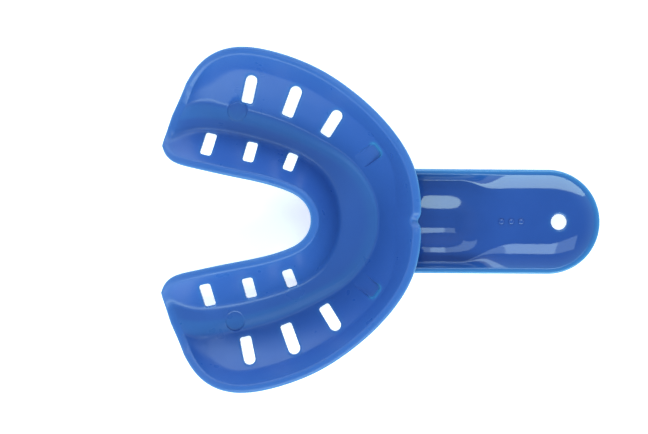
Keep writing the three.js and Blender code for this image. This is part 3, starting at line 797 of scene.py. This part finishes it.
def handle_plate():
    hole = round_slot(HANG_HOLE_X, 0, HANG_HOLE_RADIUS)
    grid = [(x, y) for x in PLATE_XS for y in ACROSS]
    for radius in HALF_YS[1:]:
        grid += [(TIP_CENTRE_X + radius * math.cos(a), radius * math.sin(a)) for a in TIP_ANGLES[1:-1]]
    grid = np.array(grid)
    outline = np.concatenate([
        [(NECK_END_X, y) for y in ACROSS],
        [(x, FLOOR_HALF_WIDTH) for x in PLATE_XS[1:]],
        round_tip([FLOOR_HALF_WIDTH])[-2:0:-1, 0],
        [(x, -FLOOR_HALF_WIDTH) for x in PLATE_XS[:0:-1]],
    ])
    inside = handle_inset(grid) > HANDLE_RIM_WIDTH + 1e-6
    inside &= grid[:, 0] > NECK_END_X + 1e-6
    inside &= hole.distance(grid) > CUT_ROUND + RING_SPACING / 2
    plan = [outline, grid[inside]]
    edges = loop_edges(0, len(outline))
    total = len(outline) + int(inside.sum())
    for growth in RING_GROWTHS:
        ring = hole.ring(growth)
        edges += loop_edges(total, len(ring))
        plan.append(ring)
        total += len(ring)
    plan = np.concatenate(plan)
    return handle_shell("handle_plate", plan, triangulate(plan, edges, [hole]), [hole])


def size_pip(name):
    """A low raised dot with a soft edge, where the frame has one."""
    low, high = box_mm(name)
    middle = [(low[0] + high[0]) / 2, (low[1] + high[1]) / 2]
    radius = (high[0] - low[0]) / 2
    height = high[2] - low[2]
    rise = np.linspace(0, 0.5 * math.pi, 9)[:-1]
    turns = np.linspace(0, 2 * math.pi, 40, endpoint=False)
    count = len(turns)
    rings = []
    for lean in rise:
        reach = radius * math.cos(lean) ** 0.6
        ring = [middle[0] + reach * np.cos(turns), middle[1] + reach * np.sin(turns)]
        rings.append(np.column_stack([*ring, np.full(count, low[2] + height * math.sin(lean))]))
    top = np.array([[*middle, high[2]]])
    base = np.array([[*middle, low[2]]])
    skin = Skin(name, np.concatenate([*rings, top, base]))
    here = np.arange(count)
    after = np.roll(here, -1)
    for ring in range(len(rise) - 1):
        a = ring * count
        skin.add(np.column_stack([a + here, a + after, a + count + after, a + count + here]))
    last = (len(rise) - 1) * count
    peak = len(rise) * count
    skin.add(np.column_stack([last + here, last + after, np.full(count, peak)]))
    skin.add(np.column_stack([after, here, np.full(count, peak + 1)]), hidden=True)
    return skin


# ---------------------------------------------------------------- building the pieces


def slots_of(shapes):
    return [Slot(shape, side) for shape in shapes for side in (1, -1)]


def pocket_share(pocket, plan):
    """How far along a pocket plan points lie: 0 at its shallow end and 1 at its deep end."""
    return (plan - pocket.centre) @ pocket.along / (2 * pocket.half[0]) + 0.5


def pocket_floor(plan, top):
    """Sinks the blind pockets and the ejector pins' marks into the outer wall."""
    for side in (1, -1):
        pocket = Slot(POCKET, side)
        inside = -pocket.distance(plan)
        depth = POCKET_DEPTH * np.clip(pocket_share(pocket, plan), 0.05, 1)
        top = top - depth * smoothstep((inside + 0.12) / 0.3)
    return sink_pin_marks(plan, top)


def sink_pin_marks(plan, top):
    for mark in PIN_MARKS:
        outside = length(plan - np.array(mark)) - PIN_MARK_RADIUS
        disc = PIN_MARK_HEIGHT + PIN_MARK_SLOPE * np.clip(outside + 0.08, 0, None)
        top = np.minimum(top, disc)
    return top


POCKET_RINGS = [(Slot(POCKET, side), POCKET_GROWTHS) for side in (1, -1)]
PIN_RINGS = [(round_slot(x, y, PIN_MARK_RADIUS), PIN_MARK_GROWTHS) for x, y in PIN_MARKS]


def heel_glow(t):
    return LIP_FOOT_GLOW * (1 - smoothstep(np.minimum(t, LAST - t) / 0.5))


def floor_glow(t, w):
    return np.maximum(STEP_GLOW * smoothstep((w - 0.6) / 0.4), heel_glow(t))


def inner_glow(t, w):
    """The inner wall's glow: none but for its last stretch below the lips."""
    return np.maximum(LIP_FOOT_GLOW * smoothstep((w - 0.8) / 0.2), heel_glow(t))


def pocket_glow(plan):
    """A painted crescent of light round the deep end of each blind pocket."""
    glow = np.zeros(len(plan))
    for side in (1, -1):
        pocket = Slot(POCKET, side)
        near = np.exp(-(pocket.distance(plan) / POCKET_GLOW_REACH) ** 2)
        deep = smoothstep((pocket_share(pocket, plan) - 0.7) / 0.25)
        glow = np.maximum(glow, near * deep)
    return glow


def outer_glow(t, w):
    """The outer wall's glow: over the step at its foot, below the lip and round the pockets."""
    run = w * length(outer_edge(t)[0] - step_line(t)) / ledge_width(t)
    strip = STEP_GLOW * (1 - smoothstep((run - 0.7) / 0.5))
    below_lip = LIP_FOOT_GLOW * smoothstep((w - 0.8) / 0.2)
    return np.maximum.reduce([strip, below_lip, heel_glow(t), pocket_glow(outer_wall(t, w)[0])])


inner_count = len(inner_run) - 1
heel_count = len(near_heel) - 1
outer_count = len(outer_run) - 1

skins = [
    arch_region("occlusal_floor", floor_surface, lambda t: FLOOR_SHARES, [], floor_glow,
                sink_pin_marks, PIN_RINGS),
    arch_region("inner_flange", inner_wall, inner_shares, slots_of(INNER_SLOTS), inner_glow),
    arch_region("outer_flange", outer_wall, outer_shares, slots_of(OUTER_SLOTS), outer_glow,
                pocket_floor, POCKET_RINGS + PIN_RINGS),
    lip("inner_lip", 0, inner_count),
    lip("right_heel_lip", inner_count, heel_count),
    lip("outer_lip", inner_count + heel_count, outer_count),
    lip("left_heel_lip", inner_count + heel_count + outer_count, heel_count),
    grid_shell("handle_neck", neck_grid(ACROSS)),
    handle_rim(),
    handle_plate(),
    *[size_pip(f"size_pip_{number}") for number in (1, 2, 3)],
]


def face_vectors(corners):
    """Each face's unnormalised normal, its length twice the area."""
    if corners.shape[1] == 3:
        return np.cross(corners[:, 1] - corners[:, 0], corners[:, 2] - corners[:, 0])
    return np.cross(corners[:, 2] - corners[:, 0], corners[:, 3] - corners[:, 1])


def turn_outward(skin):
    """Reverses every face of a closed skin if they point in."""
    volume = 0
    for faces, _ in skin.groups:
        corners = skin.points[faces]
        volume += (face_vectors(corners) * corners.mean(1)).sum()
    if volume < 0:
        skin.groups = [(faces[:, ::-1], hidden) for faces, hidden in skin.groups]


def unit(vectors):
    return vectors / np.maximum(np.linalg.norm(vectors, axis=-1, keepdims=True), 1e-12)


def corner_angles(corners):
    ahead = unit(np.roll(corners, -1, 1) - corners)
    back = unit(np.roll(corners, 1, 1) - corners)
    return np.arccos(np.clip((ahead * back).sum(-1), -1, 1))


KEYS_PER_MM = 1000
KEY_OFFSET = 0.2137  # keeps round numbers away from where rounding changes


def shared_normals(pieces):
    """A normal for every point of every piece, from the seen faces of all that meet there."""
    points = np.concatenate([skin.points for skin in pieces])
    keys = np.round(points * KEYS_PER_MM + KEY_OFFSET).astype(np.int64)
    places_of = np.unique(keys, axis=0, return_inverse=True)[1].ravel()
    sums = np.zeros((places_of.max() + 1, 3))
    start = 0
    for skin in pieces:
        for faces, hidden in skin.groups:
            if not hidden:
                corners = skin.points[faces]
                weighed = unit(face_vectors(corners))[:, None] * corner_angles(corners)[..., None]
                np.add.at(sums, places_of[start + faces], weighed)
        start += len(skin.points)
    found = unit(sums)[places_of]
    return np.split(found, np.cumsum([len(skin.points) for skin in pieces])[:-1])


def build(skin, normals, material):
    """Makes a Blender object of a skin, which rides on the body and replaces its CAD node."""
    faces = [face for group, _ in skin.groups for face in group.tolist()]
    corner_normals = []
    for group, hidden in skin.groups:
        if hidden:
            chosen = np.repeat(unit(face_vectors(skin.points[group]))[:, None], group.shape[1], 1)
        else:
            chosen = normals[group]
        corner_normals.append(chosen.reshape(-1, 3))
    mesh = bpy.data.meshes.new(skin.name)
    mesh.from_pydata((skin.points * MM).tolist(), [], faces)
    mesh.polygons.foreach_set("use_smooth", [True] * len(faces))
    mesh.normals_split_custom_set(np.concatenate(corner_normals).tolist())
    glow = mesh.attributes.new("glow", "FLOAT", "POINT")
    glow.data.foreach_set("value", skin.glow.astype(np.float32))
    mesh.materials.append(material)
    piece = bpy.data.objects.new(skin.name + "_moulding", mesh)
    bpy.context.collection.objects.link(piece)
    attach(piece, BODY)
    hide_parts(skin.name)


BODY = next(iter(frame["bodies"]))

# ---------------------------------------------------------------- materials


class Graph:
    """A material's node tree, with short ways to add nodes and link them."""

    def __init__(self, name):
        self.material = bpy.data.materials.new(name)
        self.material.use_nodes = True
        self.nodes = self.material.node_tree.nodes
        self.shader = self.nodes["Principled BSDF"]

    def link(self, source, target):
        self.material.node_tree.links.new(source, target)

    def noise(self, cell, detail, stretch=(1, 1, 1)):
        """Noise from 0 to 1 whose cells are about cell millimetres wide, stretched by factors."""
        place = self.nodes.new("ShaderNodeTexCoord")
        scaled = self.nodes.new("ShaderNodeMapping")
        scaled.inputs["Scale"].default_value = [1 / (cell * MM * factor) for factor in stretch]
        self.link(place.outputs["Object"], scaled.inputs["Vector"])
        noise = self.nodes.new("ShaderNodeTexNoise")
        noise.inputs["Scale"].default_value = 1
        noise.inputs["Detail"].default_value = detail
        self.link(scaled.outputs["Vector"], noise.inputs["Vector"])
        return noise.outputs["Fac"]

    def rescale(self, value, low, high, to_low, to_high):
        """Maps low..high of a value to to_low..to_high, clamped."""
        node = self.nodes.new("ShaderNodeMapRange")
        numbers = {"From Min": low, "From Max": high, "To Min": to_low, "To Max": to_high}
        for socket, number in numbers.items():
            node.inputs[socket].default_value = number
        self.link(value, node.inputs["Value"])
        return node.outputs["Result"]

    def combine(self, operation, first, second):
        """The result of a math operation on two values, each a node's output or a number."""
        node = self.nodes.new("ShaderNodeMath")
        node.operation = operation
        for socket, value in zip(node.inputs, (first, second)):
            if isinstance(value, (int, float)):
                socket.default_value = value
            else:
                self.link(value, socket)
        return node.outputs["Value"]

    def mix(self, share, first, second):
        """A colour between two, each a node's output or three numbers."""
        node = self.nodes.new("ShaderNodeMix")
        node.data_type = "RGBA"
        self.link(share, node.inputs["Factor"])
        colour_sockets = [socket for socket in node.inputs if socket.type == "RGBA"]
        for socket, colour in zip(colour_sockets, (first, second)):
            if isinstance(colour, tuple):
                socket.default_value = (*colour, 1)
            else:
                self.link(colour, socket)
        return next(output for output in node.outputs if output.type == "RGBA")

    def bump(self, height, depth, after=None):
        """A normal disturbed by a height from 0 to 1 that is depth millimetres deep."""
        node = self.nodes.new("ShaderNodeBump")
        node.inputs["Distance"].default_value = depth * MM
        self.link(height, node.inputs["Height"])
        if after:
            self.link(after, node.inputs["Normal"])
        return node.outputs["Normal"]


def moulded_plastic(name, body, cloudy, painted_glow_colour, shine, roughness, grain_depth, ripple_depth):
    """Glossy moulded plastic: cloudy colour, painted glowing edges, faint ripples, grain and rubs.

    It is coloured from body to cloudy, and in the colour of the painted glow where the glow is 1,
    which paints light through thin plastic into it; its roughness lies between two numbers,
    and the depths of its grain and ripples are in millimetres.
    """
    graph = Graph(name)
    graph.shader.inputs["Specular IOR Level"].default_value = shine
    clouds = graph.rescale(graph.noise(9, 3), 0.3, 0.7, 0, 1)
    colour = graph.mix(clouds, body, cloudy)
    # Painted light: the glow attribute blends in the colour of light through thin plastic.
    attribute = graph.nodes.new("ShaderNodeAttribute")
    attribute.attribute_name = "glow"
    colour = graph.mix(attribute.outputs["Fac"], colour, painted_glow_colour)
    graph.link(colour, graph.shader.inputs["Base Color"])

    grain = graph.noise(0.25, 3)
    rubs = graph.rescale(graph.noise(0.5, 2, (12, 1, 3)), 0.62, 0.72, 0, 1)
    patches = graph.rescale(graph.noise(5, 2), 0.25, 0.75, roughness[0], roughness[1])
    rub_depth = 0.4 * (roughness[1] - roughness[0])
    rough = graph.combine("ADD", patches, graph.combine("MULTIPLY", rubs, rub_depth))
    graph.link(rough, graph.shader.inputs["Roughness"])

    normal = graph.bump(graph.noise(7, 1), ripple_depth)
    normal = graph.bump(grain, grain_depth, normal)
    graph.link(normal, graph.shader.inputs["Normal"])
    return graph.material


# The colour of the painted glow: light through thin plastic at cuts, rims, lips and the step.
PAINTED_GLOW_COLOUR = (0.045, 0.22, 0.46)
tray_plastic = moulded_plastic("tray_plastic", (0.030, 0.089, 0.335), (0.033, 0.095, 0.35),
                               PAINTED_GLOW_COLOUR, 0.32, (0.26, 0.36), 0.004, 0.03)
handle_plastic = moulded_plastic("handle_plastic", (0.015, 0.056, 0.25), (0.018, 0.062, 0.27),
                                 PAINTED_GLOW_COLOUR, 0.5, (0.04, 0.09), 0.0015, 0.03)

for skin in skins:
    turn_outward(skin)
for skin, normals in zip(skins, shared_normals(skins)):
    if skin.name.startswith(("handle", "size")):
        build(skin, normals, handle_plastic)
    else:
        build(skin, normals, tray_plastic)

# ---------------------------------------------------------------- stage


def soft_light(name, place, aim, size, radiance, tint):
    """A rectangular light, size metres wide and high, of one brightness all over."""
    light = bpy.data.lights.new(name, "AREA")
    light.color = tint
    light.shape = "RECTANGLE"
    light.size, light.size_y = size
    light.energy = radiance * math.pi * size[0] * size[1]
    lamp = bpy.data.objects.new(name, light)
    lamp.location = place
    lamp.rotation_euler = (Vector(aim) - Vector(place)).to_track_quat("-Z", "Y").to_euler()
    lamp.visible_camera = False
    bpy.context.collection.objects.link(lamp)


# An upright light stands beyond the -Y side. On the +Y side a low light leans over the tray, and
# two lights hang level, the dimmer one towards the heels.
COOL = (0.7, 1.0, 1.08)
soft_light("standing_light", (0, -0.5, 0.482), (0, 0, 0.482), (1.05, 0.387), 5.7, (0.8, 1.12, 1.0))
soft_light("low_light", (0, 0.62, 0.27), (0, 0, 0), (1.1, 0.2), 3.6, COOL)
soft_light("hanging_light", (0.105, 0.28, 0.6), (0.105, 0.28, 0), (0.17, 0.24), 5.3, COOL)
soft_light("dim_hanging_light", (-0.12, 0.28, 0.6), (-0.12, 0.28, 0), (0.28, 0.24), 2.2, COOL)

FLOOR_REACH = 3
floor_corners = [(x * FLOOR_REACH, y * FLOOR_REACH, 0) for x, y in ((-1, -1), (1, -1), (1, 1), (-1, 1))]
floor_mesh = bpy.data.meshes.new("floor")
floor_mesh.from_pydata(floor_corners, [], [(0, 1, 2, 3)])
floor = bpy.data.objects.new("floor", floor_mesh)
bpy.context.collection.objects.link(floor)
floor_paint = bpy.data.materials.new("floor_paint")
floor_paint.use_nodes = True
paint = floor_paint.node_tree.nodes["Principled BSDF"].inputs
paint["Base Color"].default_value = (0.9, 0.9, 0.9, 1)
paint["Roughness"].default_value = 0.9
paint["Emission Color"].default_value = (1, 1, 1, 1)
paint["Emission Strength"].default_value = 0.6
floor_mesh.materials.append(floor_paint)

# The sky is dimmer overhead than towards the horizon.
world = bpy.data.worlds.new("studio")
world.use_nodes = True
world_nodes = world.node_tree.nodes
direction = world_nodes.new("ShaderNodeTexCoord")
axes = world_nodes.new("ShaderNodeSeparateXYZ")
world_nodes["Background"].inputs["Color"].default_value = (0.85, 1, 1.08, 1)
brightness = world_nodes.new("ShaderNodeMapRange")
brightness.inputs["From Min"].default_value = math.cos(math.radians(65))
brightness.inputs["From Max"].default_value = math.cos(math.radians(35))
brightness.inputs["To Min"].default_value = 1.3
brightness.inputs["To Max"].default_value = 0.3
for source, target in (
    (direction.outputs["Generated"], axes.inputs["Vector"]),
    (axes.outputs["Z"], brightness.inputs["Value"]),
    (brightness.outputs["Result"], world_nodes["Background"].inputs["Strength"]),
):
    world.node_tree.links.new(source, target)
bpy.context.scene.world = world
bpy.context.scene.view_settings.view_transform = "Standard"

camera_data = bpy.data.cameras.new("camera")
camera_data.lens = 102.8
camera_data.sensor_width = 36
camera = bpy.data.objects.new("camera", camera_data)
camera.location = (-0.01255, 0.00075, 0.42)
camera.rotation_euler = (0, 0, math.radians(0.38))
bpy.context.collection.objects.link(camera)
bpy.context.scene.camera = camera
